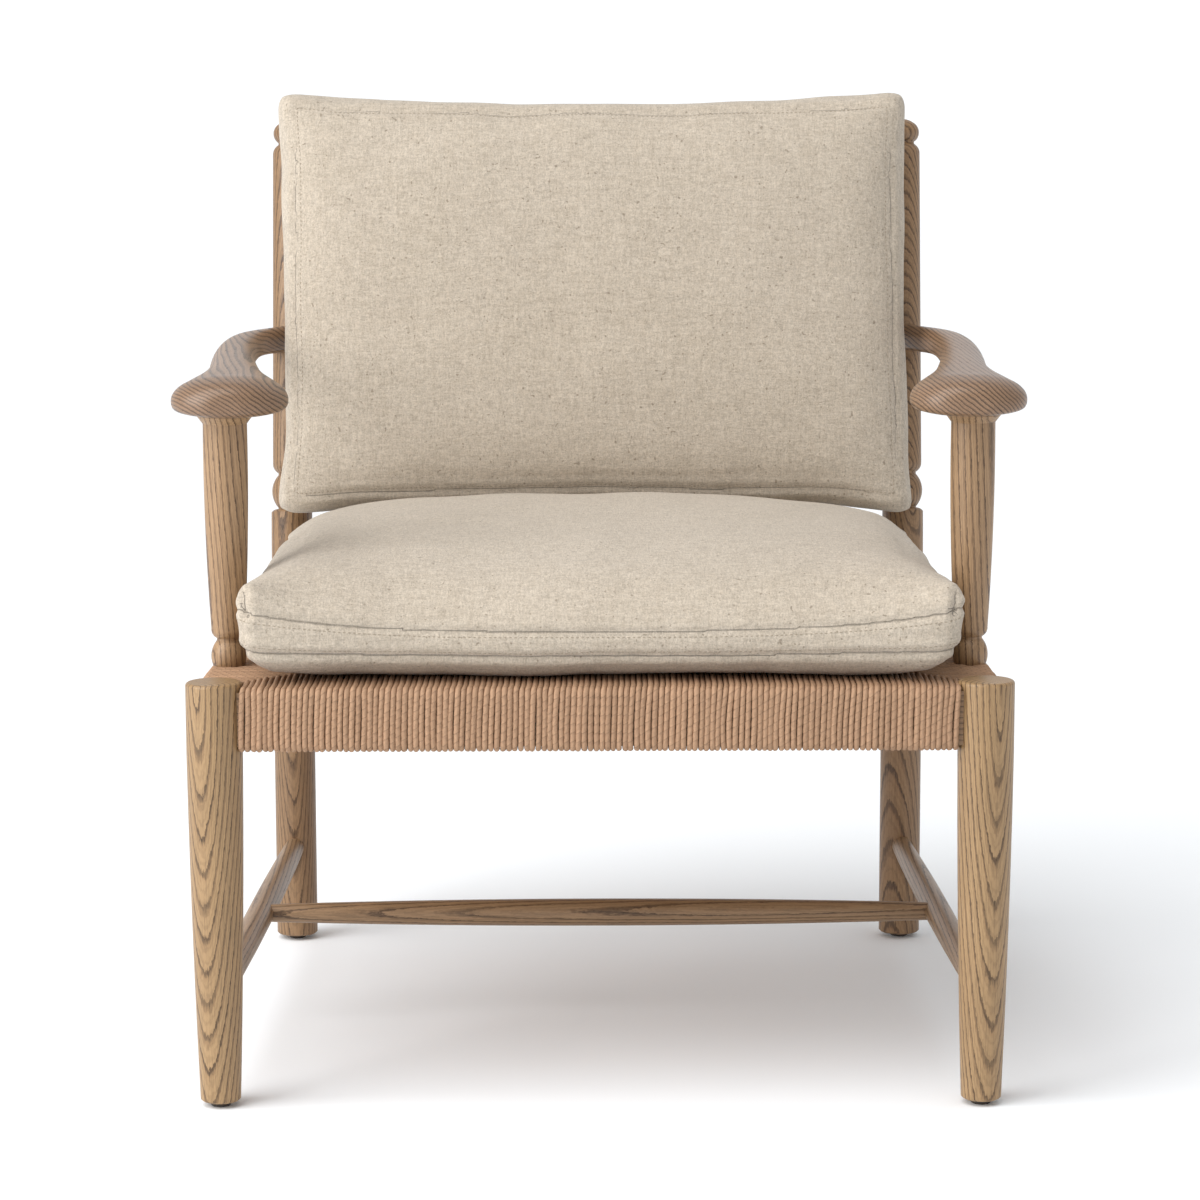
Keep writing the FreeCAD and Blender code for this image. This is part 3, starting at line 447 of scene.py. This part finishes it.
def weave_panel(name, node, start, end, inward, mitres, material):
    """A panel of cords laid side by side along a rail, from start to end on the rail's outer face."""
    start, end, inward = Vector(start), Vector(end), Vector(inward)
    length = (end - start).length
    along = (end - start) / length
    count = int(length / CORD_PITCH)
    pitch = length / count
    points, faces, uvs = [], [], []
    for c in range(count):
        place = (c + 0.5) * pitch
        jitter = float(RNG.normal(0, 0.00022))
        lean_low = -0.0014 + 0.0016 * noise.noise((c * 0.11, 0.0, 3.0)) + float(RNG.normal(0, 0.00022))
        sway = 0.0014 * noise.noise((c * 0.21, 5.0, 0.0)) + float(RNG.normal(0, 0.00030))
        phase = float(RNG.uniform(0, 2 * math.pi))
        radius = CORD_R * float(RNG.uniform(0.98, 1.12))
        path = cord_path(max(mitres(place, length), MITRE_LEAST), jitter)
        run = 0.0
        base = len(points)
        for i, (inside, height) in enumerate(path):
            before, after = path[max(i - 1, 0)], path[min(i + 1, len(path) - 1)]
            run += math.hypot(inside - before[0], height - before[1])
            di, dh = after[0] - before[0], after[1] - before[1]
            size = math.hypot(di, dh)
            normal = inward * (dh / size) + Vector((0, 0, -di / size))
            slide = cord_slide(inside, height, lean_low, sway)
            centre = start + along * (place + slide) + inward * inside + Vector((0, 0, height))
            points += cord_section(centre, along, normal, phase - run * 2 * math.pi / TWIST_LENGTH, radius)
            uvs += [(run, c + 0.02 + 0.96 * k / CORD_SIDES) for k in range(CORD_SIDES)]
        faces += tube_faces(base, len(path), CORD_SIDES)
    thing = mesh_object(name, points, faces, material)
    layer = thing.data.uv_layers.new(name="cord")
    index = np.zeros(len(thing.data.loops), np.int64)
    thing.data.loops.foreach_get("vertex_index", index)
    layer.data.foreach_set("uv", np.asarray(uvs, np.float32)[index].ravel())
    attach(thing, "frame")
    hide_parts(node)


def weave_seat():
    """The four mitred panels of the seat. Each mitre tells how far in the cords at a place along the rail reach."""
    # the second colour is the painted shade in the cord's twist grooves
    cord = paper_cord("paper_cord", linear(178, 143, 114), linear(72, 50, 34))
    fx, fy, fr = FRONT_LEG
    rx, ry, rr = REAR_LEG
    inner_x = fx - (ry - fy) / 2
    depth = (ry - fy) / 2
    free = -CORD_R * 0.5

    def front_mitre(place, length):
        x = abs(place - length / 2)
        return RAIL_HALF + (min(depth, fx - x) if x > inner_x else depth)

    def rear_mitre(place, length):
        x = abs(place - length / 2)
        return RAIL_HALF + (min(depth, (rx - x) * depth / (rx - inner_x)) if x > inner_x else depth)

    half = fx - fr - free
    weave_panel("cord_seat_front", "seat_weave_front", (-half, fy - RAIL_HALF, 0), (half, fy - RAIL_HALF, 0),
                (0, 1, 0), front_mitre, cord)
    half_rear = rx - rr - free
    weave_panel("cord_seat_rear", "seat_weave_rear", (half_rear, ry + RAIL_HALF, 0), (-half_rear, ry + RAIL_HALF, 0),
                (0, -1, 0), rear_mitre, cord)
    slope = (fx - rx) / (ry - fy)
    y_low, y_high = fy + fr + free, ry - rr - free
    for side, label in ((1, "right"), (-1, "left")):
        def side_mitre(place, length, side=side):
            from_front = (place if side > 0 else length - place) / length * (y_high - y_low) + fr
            from_rear = (ry - fy) - from_front
            reach = min(from_front, from_rear * (rx - inner_x) / depth)
            return RAIL_HALF + max(0.012, min(reach, fx - inner_x))
        x_low = fx - slope * (y_low - fy) + RAIL_HALF
        x_high = fx - slope * (y_high - fy) + RAIL_HALF
        ends = [(side * x_low, y_low, 0), (side * x_high, y_high, 0)]
        if side < 0:
            ends.reverse()
        weave_panel("cord_seat_" + label, "seat_weave_" + label, ends[0], ends[1], (-side, 0, 0), side_mitre, cord)


# ---------------------------------------------------------------- cushions


def unit_box(cuts):
    """Points and faces of a cube of half size 1 with a fine grid on each side."""
    bm = bmesh.new()
    bmesh.ops.create_cube(bm, size=2.0)
    bmesh.ops.subdivide_edges(bm, edges=bm.edges[:], cuts=cuts, use_grid_fill=True)
    points = np.array([v.co[:] for v in bm.verts])
    faces = [[v.index for v in f.verts] for f in bm.faces]
    bm.free()
    return points, faces


def rounded(a, b, half_x, half_y, radius):
    """Plan places for unit coordinates a, b in a rectangle with round corners."""
    x, y = a * half_x, b * half_y
    dx = np.maximum(np.abs(x) - (half_x - radius), 0)
    dy = np.maximum(np.abs(y) - (half_y - radius), 0)
    far = np.maximum(np.hypot(dx, dy), 1e-9)
    scale = np.maximum(dx, dy) / far
    x = np.where(dx > 0, np.sign(x) * (half_x - radius + dx * np.where(dy > 0, scale, 1)), x)
    y = np.where(dy > 0, np.sign(y) * (half_y - radius + dy * np.where(dx > 0, scale, 1)), y)
    return x, y


SEAT_SIDE = [(-1, 0.024), (-0.85, 0.013), (-0.66, 0.0055), (-0.3, 0.003), (0.4, 0.0015), (0.75, 0.0), (1, 0.0)]
SEAT_RISE = [(-1, 0.0), (-0.85, 0.005), (-0.66, 0.0138), (-0.3, 0.021), (0.4, 0.034), (0.75, 0.039), (1, 0.0425)]
BACK_SIDE = [(-1, 0.017), (-0.8, 0.008), (-0.5, 0.002), (0.0, 0.0), (0.5, 0.0005), (0.8, 0.005), (1, 0.013)]
BACK_RISE = [(-1, 0.0215), (-0.8, 0.027), (-0.5, 0.040), (0.0, 0.058), (0.5, 0.076), (0.8, 0.087), (1, 0.095)]


SEAT_HALF = (0.3155, 0.3025)
SEAT_CORNER = 0.020
SEAT_MIDDLE = -0.0543
SEAT_CROWN = 0.076
BACK_HALF = (0.3175, 0.2125)
BACK_CORNER = 0.012
BACK_MIDDLE = 0.2415
BACK_CROWN = 0.026


def seat_form(points, inset=0.0):
    """The seat cushion at rest before it is filled, from the unit box; inset shrinks it."""
    a, b, c = points[:, 0], points[:, 1], points[:, 2]
    top = c > 0.999
    a = np.where(top, np.sign(a) * (1 - (1 - np.abs(a)) ** 1.6), a)
    b = np.where(top, np.sign(b) * (1 - (1 - np.abs(b)) ** 1.6), b)
    side = ramp_line(c, SEAT_SIDE) + inset
    half_x = SEAT_HALF[0] - 0.003 * (1 - np.abs(b) ** 4)
    half_y = SEAT_HALF[1] - 0.003 * (1 - np.abs(a) ** 4)
    x, y = rounded(a, b, half_x, half_y, SEAT_CORNER)
    x *= (half_x - side) / half_x
    y *= (half_y - side) / half_y
    corner = np.abs(a) ** 3 * (1 - b) / 2
    rise = ramp_line(c, SEAT_RISE) * (1 + 0.62 * corner)
    from_side = (1 - np.abs(a)) * half_x
    from_front = (1 + b) * half_y
    from_rear = (1 - b) * half_y
    edge = np.minimum(np.minimum(from_side, from_front), from_rear)
    lip = 0.034 * (1 - np.exp(-edge / 0.0035)) * (0.36 + 0.64 * np.abs(a) ** 4) * (1 - 0.6 * np.maximum(b, 0))
    across = 0.2 + 0.8 * (1 - np.exp(-from_side / 0.075))
    fore = 1 - np.exp(-from_front / 0.080)
    aft = (1 - np.minimum(np.maximum(b, 0), 1) ** 4) ** 0.8
    crown = lip + (SEAT_CROWN - lip) * across * fore * aft * (1 - np.exp(-from_side / 0.02))
    rise = np.where(top, rise + crown - inset * 0.6, rise)
    return np.stack([x, y + SEAT_MIDDLE, WEAVE_TOP + 0.001 + rise + inset * (c < -0.5) * 0.3], axis=1)


def back_form(points, inset=0.0):
    """The back cushion before it is filled: (across, forward, up the posts)."""
    a, b, c = points[:, 0], points[:, 1], points[:, 2]
    side = ramp_line(c, BACK_SIDE) + inset
    half_x = BACK_HALF[0] - 0.0010 * b - 0.0025 * (1 - np.abs(b) ** 4)
    half_s = BACK_HALF[1] - 0.0030 * (1 - np.abs(a) ** 2.5)
    x, s = rounded(a, b, half_x, half_s, BACK_CORNER)
    x *= (half_x - side) / half_x
    s *= (half_s - side) / half_s
    wide = 1 - np.exp(-(1 - np.abs(a)) * half_x / 0.060)
    tall = 1 - np.exp(-(1 - np.abs(b)) * half_s / 0.055)
    forward = ramp_line(c, BACK_RISE)
    forward = np.where(c > 0.999, forward + BACK_CROWN * wide * tall - inset * 0.5, forward)
    return np.stack([x, forward, s + BACK_MIDDLE], axis=1)


def eased(values, faces, rounds):
    """Values at mesh points, each evened out with its neighbours' a number of times."""
    corners = np.array([f if len(f) == 4 else (*f, f[0]) for f in faces])
    start = corners.ravel()
    end = np.roll(corners, -1, axis=1).ravel()
    share = np.bincount(start, minlength=len(values)) + np.bincount(end, minlength=len(values))
    for _ in range(rounds):
        total = np.zeros_like(values)
        np.add.at(total, start, values[end])
        np.add.at(total, end, values[start])
        values = 0.5 * values + 0.5 * total / np.maximum(share, 1)[:, None]
    return values


VOXEL = 0.006
PRESSURE = 3.0
TRAVEL_CAP = 0.012
CLOTH_STEPS = 20


def blown(thing, before, faces):
    """Where the points of a closed cover go when it is blown up, with the travel held in and evened out."""
    cloth = thing.modifiers.new("cloth", "CLOTH")
    settings = cloth.settings
    settings.quality = 4
    settings.mass = 0.25
    settings.tension_stiffness = 18
    settings.compression_stiffness = 18
    settings.shear_stiffness = 6
    settings.bending_stiffness = 0.6
    settings.use_pressure = True
    settings.uniform_pressure_force = PRESSURE
    settings.effector_weights.gravity = 0
    cloth.collision_settings.use_collision = False
    scene = bpy.context.scene
    for step in range(1, CLOTH_STEPS + 1):
        scene.frame_set(step)
    travel = vertex_values(with_modifiers(thing), "co") - before
    scene.frame_set(1)
    far = np.linalg.norm(travel, axis=1, keepdims=True)
    held = TRAVEL_CAP * np.tanh(far / TRAVEL_CAP) / np.maximum(far, 1e-9)
    return before + eased(travel * held, faces, 14)


def filled(name, points, faces):
    """The cushion's cover blown up by its filling. Returns points before and after, and the faces."""
    thing = mesh_object(name, points, faces, bpy.data.materials["woven_linen"])
    bpy.context.view_layer.objects.active = thing
    remesh = thing.modifiers.new("remesh", "REMESH")
    remesh.mode = "VOXEL"
    remesh.voxel_size = VOXEL
    mesh = with_modifiers(thing)
    thing.modifiers.clear()
    thing.data = mesh
    before = vertex_values(mesh, "co")
    faces = [tuple(p.vertices) for p in mesh.polygons]
    after = blown(thing, before, faces)
    bpy.data.objects.remove(thing)
    return before, after, faces


def settled(points, faces, clear):
    """The points held clear of their neighbours, with the pushed-in places evened out."""
    return clear(points + eased(clear(points) - points, faces, 8))


def fitted(points, low, high):
    """The points stretched so that they just fill the box from low to high."""
    least, most = points.min(axis=0), points.max(axis=0)
    return np.asarray(low) + (points - least) * (np.asarray(high) - np.asarray(low)) / (most - least)


def nearest_tree(points):
    tree = KDTree(len(points))
    for i, p in enumerate(points):
        tree.insert(p, i)
    tree.balance()
    return tree


def follower(before, after):
    """A function that carries points of the unfilled form to the filled one."""
    tree = nearest_tree(before)

    def carry(points):
        moved = []
        for p in points:
            near = tree.find_n(Vector(p), 4)
            weights = np.array([1 / (d + 1e-4) ** 2 for _, _, d in near])
            travel = sum(w * (after[i] - before[i]) for w, (_, i, _) in zip(weights, near)) / weights.sum()
            moved.append(np.asarray(p) + travel)
        return np.array(moved)

    return carry


def ring(level, count, pull=0.0):
    """Unit-box places once round the cushion at one level of its side, or on its front when pull is over 0."""
    t = np.arange(count) / count * 8
    a = np.where(t < 2, t - 1, np.where(t < 4, 1, np.where(t < 6, 5 - t, -1)))
    b = np.where(t < 2, -1, np.where(t < 4, t - 3, np.where(t < 6, 1, 7 - t)))
    return np.stack([a * (1 - pull), b * (1 - pull), np.full(count, level)], axis=1)


def spaced(points, step):
    """The closed line through points, at even steps."""
    closed = np.vstack([points, points[:1]])
    gaps = np.linalg.norm(np.diff(closed, axis=0), axis=1)
    run = np.concatenate([[0], np.cumsum(gaps)])
    count = max(8, int(run[-1] / step))
    at = np.arange(count) / count * run[-1]
    return np.stack([np.interp(at, run, closed[:, k]) for k in range(3)], axis=1)


def on_surface(tree, points):
    """The surface's nearest places to the points, and its normals there."""
    places, normals = [], []
    for p in points:
        place, normal, _, _ = tree.find_nearest(Vector(p))
        places.append(place)
        normals.append(normal)
    return np.array(places), np.array(normals)


SEAT_SEAM_DEPTH = 0.0024
BACK_SEAM_DEPTH = 0.0014
STITCH_DEPTH = 0.0009
DART_DEPTH = 0.0034
SEAM_WIDTH = 0.0030
STITCH_WIDTH = 0.0026
STITCH_STEP = 0.0043
STITCH_LENGTH = 0.0031
THREAD_R = 0.00036
LINE_STEP = 0.004


def seam_grooves(points, normals, lines):
    """Moves mesh points near each line: a soft furrow where two panels are sewn, and fullness on either side. Also
    returns each point's distance from the nearest panel seam, and the same with the side of the seam as its sign."""
    shift = np.zeros(len(points))
    far = np.full(len(points), 1.0)
    side = np.full(len(points), 1.0)
    for line, upward, depth, width, swell in lines:
        tangent = np.gradient(line, axis=0)
        tangent /= np.linalg.norm(tangent, axis=1, keepdims=True)
        tree = nearest_tree(line)
        reach = width * 5
        for i, p in enumerate(points):
            _, k, d = tree.find(p)
            if d > reach:
                continue
            gap = p - line[k]
            past = gap @ tangent[k]
            beside = abs(past) < 0.003
            if beside:
                gap = gap - tangent[k] * past
                d = math.sqrt(gap @ gap)
            pucker = 1 + 0.5 * noise.noise(Vector(p) * 90)
            shift[i] -= depth * math.exp(-((d / width) ** 2)) * pucker
            shift[i] += swell * math.exp(-(((d - 2.6 * width) / (1.4 * width)) ** 2)) * pucker
            if depth > STITCH_DEPTH and beside and d < far[i]:
                far[i] = d
                side[i] = math.copysign(d, gap @ upward)
    return points + normals * shift[:, None], far, side


def stitches_along(places, normals):
    """Small stitches lying end to end on the surface, with a gap between them."""
    points, faces = [], []
    along = np.roll(places, -1, axis=0) - np.roll(places, 1, axis=0)
    along /= np.linalg.norm(along, axis=1, keepdims=True)
    # Place along the stitch, thickness and lift of each ring of a stitch
    rings = [(-0.5, 0.35, -0.6), (-0.25, 0.95, 0.25), (0.0, 1.0, 0.45), (0.25, 0.95, 0.25), (0.5, 0.35, -0.6)]
    for p, n, t in zip(places, normals, along):
        side = np.cross(t, n)
        base = len(points)
        for at, size, lift in rings:
            centre = p + t * STITCH_LENGTH * at + n * THREAD_R * lift
            for k in range(6):
                angle = math.pi * k / 3
                points.append(centre + (side * math.cos(angle) + n * math.sin(angle)) * THREAD_R * size)
        faces += tube_faces(base, len(rings), 6)
    return points, faces


def subdivide(thing):
    """Gives the object a finer, smoothed mesh."""
    modifier = thing.modifiers.new("smooth", "SUBSURF")
    modifier.levels = modifier.render_levels = 1
    mesh = with_modifiers(thing)
    thing.modifiers.clear()
    thing.data = mesh


def lumps(points, normals, size, height):
    """The filling's own soft unevenness."""
    shift = np.array([noise.noise(Vector(p) / size) + 0.5 * noise.noise(Vector(p) * 2.1 / size) for p in points])
    return points + normals * (shift * height)[:, None]


POST_CLEAR = 0.0204  # from an arm post's axis
FLOOR_CLEAR = 0.0007  # over the cords
LEG_LIFT = 0.0045  # more than that over the front legs' tops
SEAT_FRONT_LIMIT = -0.3635
SEAT_REAR_LIMIT = 0.2490
BACK_REAR_LIMIT = 0.0208
BACK_SIDE_LIMIT = 0.3300
BACK_LOW_LIMIT = 0.0278
SEAT_UNDER_BACK = 0.0262  # how high up the posts the seat cushion may rise under the back cushion


def parting(up, ahead):
    """How far forward of the posts the cushions meet, at a place up the posts: the back cushion's low front edge."""
    return np.minimum(ahead + np.maximum(up - 0.027, 0) * 0.55, ahead + 0.0240)


def push_round(points, centre, radius, low, high):
    """Keeps points out of an upright round post."""
    d = points[:, :2] - np.asarray(centre)
    far = np.linalg.norm(d, axis=1)
    hit = (far < radius) & (points[:, 2] > low) & (points[:, 2] < high)
    points[hit, :2] = np.asarray(centre) + d[hit] / far[hit, None] * radius
    return points


def seat_clear(points):
    """Holds the seat cushion off the cord seat, the legs, the arm posts and the back cushion."""
    points = points.copy()
    floor = np.full(len(points), WEAVE_TOP + FLOOR_CLEAR)
    for sign in (1, -1):
        far = np.hypot(points[:, 0] - sign * FRONT_LEG[0], points[:, 1] - FRONT_LEG[1])
        over = np.clip((FRONT_LEG[2] + 0.012 - far) / 0.010, 0, 1)
        floor = np.maximum(floor, WEAVE_TOP + FLOOR_CLEAR + LEG_LIFT * over)
        points = push_round(points, (sign * ARM_POST[0], ARM_POST[1]), POST_CLEAR, RAIL_TOP, 0.60)
    points[:, 2] = np.maximum(points[:, 2], floor)
    points[:, 1] = np.clip(points[:, 1], SEAT_FRONT_LIMIT, SEAT_REAR_LIMIT)
    local = unlean(points)
    forward, up = local[:, 1], local[:, 2]
    front = parting(up, 0.1010)
    inside = (up > SEAT_UNDER_BACK) & (forward < front)
    lower = inside & (up - SEAT_UNDER_BACK < front - forward)
    local[lower, 2] = SEAT_UNDER_BACK
    local[inside & ~lower, 1] = front[inside & ~lower]
    return lean(local)


def back_clear(points):
    """Holds the back cushion off the posts and slats behind it and the seat cushion under it."""
    local = unlean(points)
    local[:, 0] = np.clip(local[:, 0], -BACK_SIDE_LIMIT, BACK_SIDE_LIMIT)
    local[:, 1] = np.maximum(local[:, 1], BACK_REAR_LIMIT)
    local[:, 2] = np.maximum(local[:, 2], BACK_LOW_LIMIT)
    low = local[:, 2] < 0.12
    local[low, 1] = np.minimum(local[low, 1], parting(local[low, 2], 0.0995))
    return lean(local)


def zip_tape(body, tree, across):
    """The cushion's zip, let into its finished surface where the CAD zip lies."""
    sections = 80
    half_width = 0.0035
    under, over = 0.0006, 0.0004
    low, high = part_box(body + "_zip")
    middle = (np.array(low) + np.array(high)) / 2
    points = []
    for x in np.linspace(low[0], high[0], sections):
        sides = [np.array((x, middle[1], middle[2])) + across * half for half in (-half_width, half_width)]
        places, normals = on_surface(tree, sides)
        points.extend([*(places - under * normals), *(places + over * normals)[::-1]])
    last = 4 * (sections - 1)
    ends = [(3, 2, 1, 0), (last, last + 1, last + 2, last + 3)]
    faces = tube_faces(0, sections, 4) + ends
    thing = mesh_object(body + "_zip_tape", points, faces, bpy.data.materials["zip_cloth"], False)
    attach(thing, body)
    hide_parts(body + "_zip")


def stitched(name, rows, tree):
    """The stitches of the rows, given as lines near the surface, as one piece."""
    points, faces = [], []
    for row in rows:
        places, normals = on_surface(tree, row)
        new_points, new_faces = stitches_along(places, normals)
        start = len(points)
        points += new_points
        faces += [tuple(start + i for i in f) for f in new_faces]
    return mesh_object(name, points, faces, bpy.data.materials["sewing_thread"])


def dress(body, thing, carry, seams, rows, darts, rest, upward, depth):
    """Sews a filled cushion: furrows, rows of stitches, corner darts and the zip, on the finished surface. upward is
    the way from a seam's lower side to its upper one."""
    upward = np.asarray(upward)
    mesh = thing.data
    points, normals = vertex_values(mesh, "co"), vertex_values(mesh, "normal")
    points = lumps(points, normals, 0.11, 0.0022)
    lines = [(carry(spaced(line, LINE_STEP)), upward, depth, SEAM_WIDTH, depth / 2) for line in seams]
    lines += [(carry(spaced(line, LINE_STEP)), upward, STITCH_DEPTH, STITCH_WIDTH, 0.0002) for line in rows]
    lines += [(carry(line), np.array((1.0, 0.0, 0.0)), DART_DEPTH, 0.0034, 0.0012) for line in darts]
    points, far, side = seam_grooves(points, normals, lines)
    points = rest(points)
    side *= SEAT_SEAM_DEPTH / depth
    mesh.attributes.new("seam_far", "FLOAT", "POINT").data.foreach_set("value", far)
    mesh.attributes.new("seam_side", "FLOAT", "POINT").data.foreach_set("value", side)
    mesh.vertices.foreach_set("co", points.ravel())
    mesh.update()
    tree = BVHTree.FromPolygons([tuple(p) for p in points], [tuple(f.vertices) for f in mesh.polygons])
    sewn = stitched(body + "_stitches", [carry(spaced(line, STITCH_STEP)) for line in rows], tree)
    for piece in (thing, sewn):
        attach(piece, body)
    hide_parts(body + "_cover", body + "_filling")
    zip_tape(body, tree, upward)


INSET = 0.004  # the unfilled cover is this much smaller than the finished cushion
GRID = 44
RING_POINTS = 400
# The boxes that the filled cushions just fill, the back cushion's in (across, forward, up the posts)
SEAT_BOX = ((-0.3205, -0.3620, 0.3812), (0.3205, 0.2480, 0.4965))
BACK_BOX = ((-0.3245, 0.0208, 0.0285), (0.3245, 0.1225, 0.4625))


def seat_cushion():
    unit, faces = unit_box(GRID)
    before, after, quads = filled("seat_start", seat_form(unit, INSET), faces)
    after = fitted(after, *SEAT_BOX)
    thing = mesh_object("seat_cushion", settled(after, quads, seat_clear), quads, bpy.data.materials["woven_linen"])
    subdivide(thing)
    seams = [seat_form(ring(level, RING_POINTS), INSET) for level in (0.999, -0.66)]
    rows = [seat_form(ring(level, RING_POINTS), INSET) for level in (0.56, -0.40)]
    rise = np.linspace(0, 1, 8)
    darts = [
        seat_form(np.stack([sign * (0.884 + 0.041 * rise), -1 + 0.085 * rise, np.ones(8)], axis=1), INSET)
        for sign in (-1, 1)
    ]
    carry = follower(before, after)
    dress("seat_cushion", thing, carry, seams, rows, darts, seat_clear, (0, 0, 1), SEAT_SEAM_DEPTH)


def back_cushion():
    unit, faces = unit_box(GRID)
    before, after, quads = filled("back_start", lean(back_form(unit, INSET)), faces)
    local = fitted(unlean(after), *BACK_BOX)
    local[:, 0] -= 0.0015 + 0.0040 * local[:, 2] / 0.45  # it stands a little askew
    after = lean(local)
    thing = mesh_object("back_cushion", settled(after, quads, back_clear), quads, bpy.data.materials["woven_linen"])
    subdivide(thing)
    seams = [lean(back_form(ring(level, RING_POINTS), INSET)) for level in (0.999, -0.75)]
    rows = [lean(back_form(ring(1.0, RING_POINTS, 0.028), INSET))]
    carry = follower(before, after)
    upward = (0, -math.cos(RAKE), math.sin(RAKE))
    dress("back_cushion", thing, carry, seams, rows, [], back_clear, upward, BACK_SEAM_DEPTH)


def fabric():
    """The cushions' materials, and the tie's."""
    linen("woven_linen", linear(196, 184, 168), linear(150, 134, 113))
    thread("sewing_thread", linear(170, 157, 139))
    plain("zip_cloth", linear(196, 182, 160), linear(160, 146, 126), 600, 0.8)
    assign("cushion_tie", plain("tie_tape", linear(226, 218, 204), linear(196, 186, 170), 1200, 0.85))


# ---------------------------------------------------------------- studio


def sweep_floor():
    """A pale floor that rises behind the chair: flat, then an arc, then a slope."""
    material = bpy.data.materials.new("studio_floor")
    n = Nodes(material)
    mottled = n.noise(n.add("TexCoord").outputs["Object"], 3.0)
    pale = n.ramp(mottled, [(0.3, (0.93, 0.955, 0.98)), (0.7, (0.94, 0.965, 0.99))])
    n.finish(pale, 0.9, mottled, 0.02, 0.001)
    flat_end, radius, half_width, rise = 9.0, 3.0, 14.0, 6.0
    arc = [math.radians(6 * i) for i in range(1, 9)]
    line = [(-12.0, 0.0), (flat_end, 0.0)]
    line += [(flat_end + radius * math.sin(t), radius - radius * math.cos(t)) for t in arc]
    line.append((line[-1][0] + rise, line[-1][1] + rise * math.tan(arc[-1])))
    points = [(x, y, z) for y, z in line for x in (-half_width, half_width)]
    faces = [(2 * i, 2 * i + 1, 2 * i + 3, 2 * i + 2) for i in range(len(line) - 1)]
    mesh_object("studio_floor", points, faces, material)


def aimed_light(name, kind, direction, location=(0, 0, 0), **settings):
    lamp = bpy.data.lights.new(name, kind)
    for key, value in settings.items():
        setattr(lamp, key, value)
    thing = bpy.data.objects.new(name, lamp)
    thing.location = location
    thing.rotation_euler = Vector(direction).to_track_quat("-Z", "Y").to_euler()
    bpy.context.scene.collection.objects.link(thing)


def studio():
    """Plain pale surroundings, one broad key light and a soft box on the left."""
    scene = bpy.context.scene
    scene.view_settings.view_transform = "Standard"
    world = bpy.data.worlds.new("studio")
    world.use_nodes = True
    background = world.node_tree.nodes["Background"]
    background.inputs[0].default_value = (1.0, 1.0, 1.0, 1.0)
    background.inputs[1].default_value = 0.665
    scene.world = world
    sweep_floor()
    aimed_light("key", "SUN", (0.42, 0.34, -1.0), energy=1.42, angle=math.radians(46))
    aimed_light("side_softbox", "AREA", (3.0, 1.7, -1.2), (-3.0, -1.7, 1.7),
                shape="RECTANGLE", size=2.6, size_y=2.0, energy=84)

    camera = bpy.data.cameras.new("camera")
    camera.sensor_width = 36
    camera.lens = 110.808
    camera.clip_end = 100
    thing = bpy.data.objects.new("camera", camera)
    thing.matrix_world = (
        Matrix.Translation((-0.0133, -3.5488, 0.9471))
        @ Matrix.Rotation(math.radians(-0.237), 4, "Z")
        @ Matrix.Rotation(math.radians(90 - 8.728), 4, "X")
        @ Matrix.Rotation(math.radians(-0.117), 4, "Z")
    )
    scene.collection.objects.link(thing)
    scene.camera = thing


fabric()
paint_frame()
weave_seat()
seat_cushion()
back_cushion()
studio()
